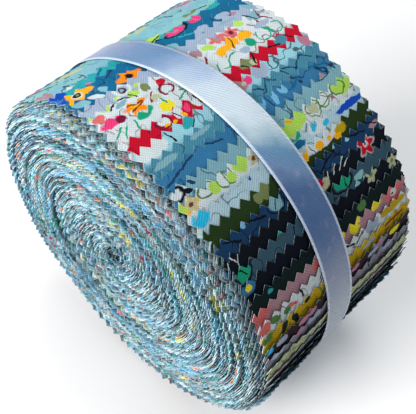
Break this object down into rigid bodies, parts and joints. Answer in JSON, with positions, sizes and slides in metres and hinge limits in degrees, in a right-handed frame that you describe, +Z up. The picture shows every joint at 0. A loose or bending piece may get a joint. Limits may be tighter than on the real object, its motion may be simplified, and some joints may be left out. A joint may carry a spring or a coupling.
{
  "type": "fabric strip roll",
  "caption": "Roll of folded printed cotton patchwork strips with pinked edges, wound into a flat-faced bundle and tied round the middle with a satin ribbon that slides off.",
  "frame": {"origin": "middle of the flat underside of the ribbon, where the roll rests on its rim", "axes": "+Z up from the surface it rests on, Y along the roll's axis with the front spiral face towards -Y, +X to the right seen from the front"},
  "size_m": [0.1086, 0.0636, 0.108],
  "materials": {
    "cloth_steel": "printed plain-weave cotton with pinked edges",
    "cloth_slate": "printed plain-weave cotton with pinked edges",
    "cloth_denim": "printed plain-weave cotton with pinked edges",
    "cloth_sky": "printed plain-weave cotton with pinked edges",
    "cloth_forest": "printed plain-weave cotton with pinked edges",
    "cloth_cream": "printed plain-weave cotton with pinked edges",
    "cloth_plum": "printed plain-weave cotton with pinked edges",
    "cloth_mustard": "printed plain-weave cotton with pinked edges",
    "cloth_pink": "printed plain-weave cotton with pinked edges",
    "cloth_olive": "printed plain-weave cotton with pinked edges",
    "cloth_lime": "printed plain-weave cotton with pinked edges",
    "cloth_crimson": "printed plain-weave cotton with pinked edges",
    "cloth_white": "printed plain-weave cotton with pinked edges",
    "cloth_lilac": "printed plain-weave cotton with pinked edges",
    "cloth_cobalt": "printed plain-weave cotton with pinked edges",
    "cloth_teal": "printed plain-weave cotton with pinked edges",
    "cloth_aqua": "printed plain-weave cotton with pinked edges",
    "satin": "pale blue satin ribbon with woven edges",
    "clear_glue": "clear dried glue"
  },
  "bodies": {
    "roll": {"strip_01": "cloth_steel", "strip_02": "cloth_slate", "strip_03": "cloth_steel", "strip_04": "cloth_denim", "strip_05": "cloth_steel", "strip_06": "cloth_sky", "strip_07": "cloth_slate", "strip_08": "cloth_denim", "strip_09": "cloth_forest", "strip_10": "cloth_cream", "strip_11": "cloth_plum", "strip_12": "cloth_mustard", "strip_13": "cloth_pink", "strip_14": "cloth_slate", "strip_15": "cloth_denim", "strip_16": "cloth_olive", "strip_17": "cloth_lime", "strip_18": "cloth_steel", "strip_19": "cloth_crimson", "strip_20": "cloth_white", "strip_21": "cloth_lilac", "strip_22": "cloth_cobalt", "strip_23": "cloth_teal", "strip_24": "cloth_aqua", "strip_25": "cloth_aqua", "strip_26": "cloth_sky", "strip_27": "cloth_steel", "strip_28": "cloth_cobalt", "strip_29": "cloth_sky", "strip_30": "cloth_steel", "strip_31": "cloth_sky", "strip_32": "cloth_denim", "strip_33": "cloth_steel", "strip_34": "cloth_sky", "strip_35": "cloth_slate", "strip_36": "cloth_steel", "strip_37": "cloth_sky", "strip_38": "cloth_denim", "strip_39": "cloth_sky", "strip_40": "cloth_steel"},
    "tie": {"ribbon": "satin", "ribbon_glue": "clear_glue"}
  },
  "joints": [
    {"name": "ribbon_slide", "type": "slide", "parent": "roll", "child": "tie", "axis": [0, 1, 0], "range_m": [-0.045, 0.045]}
  ]
}
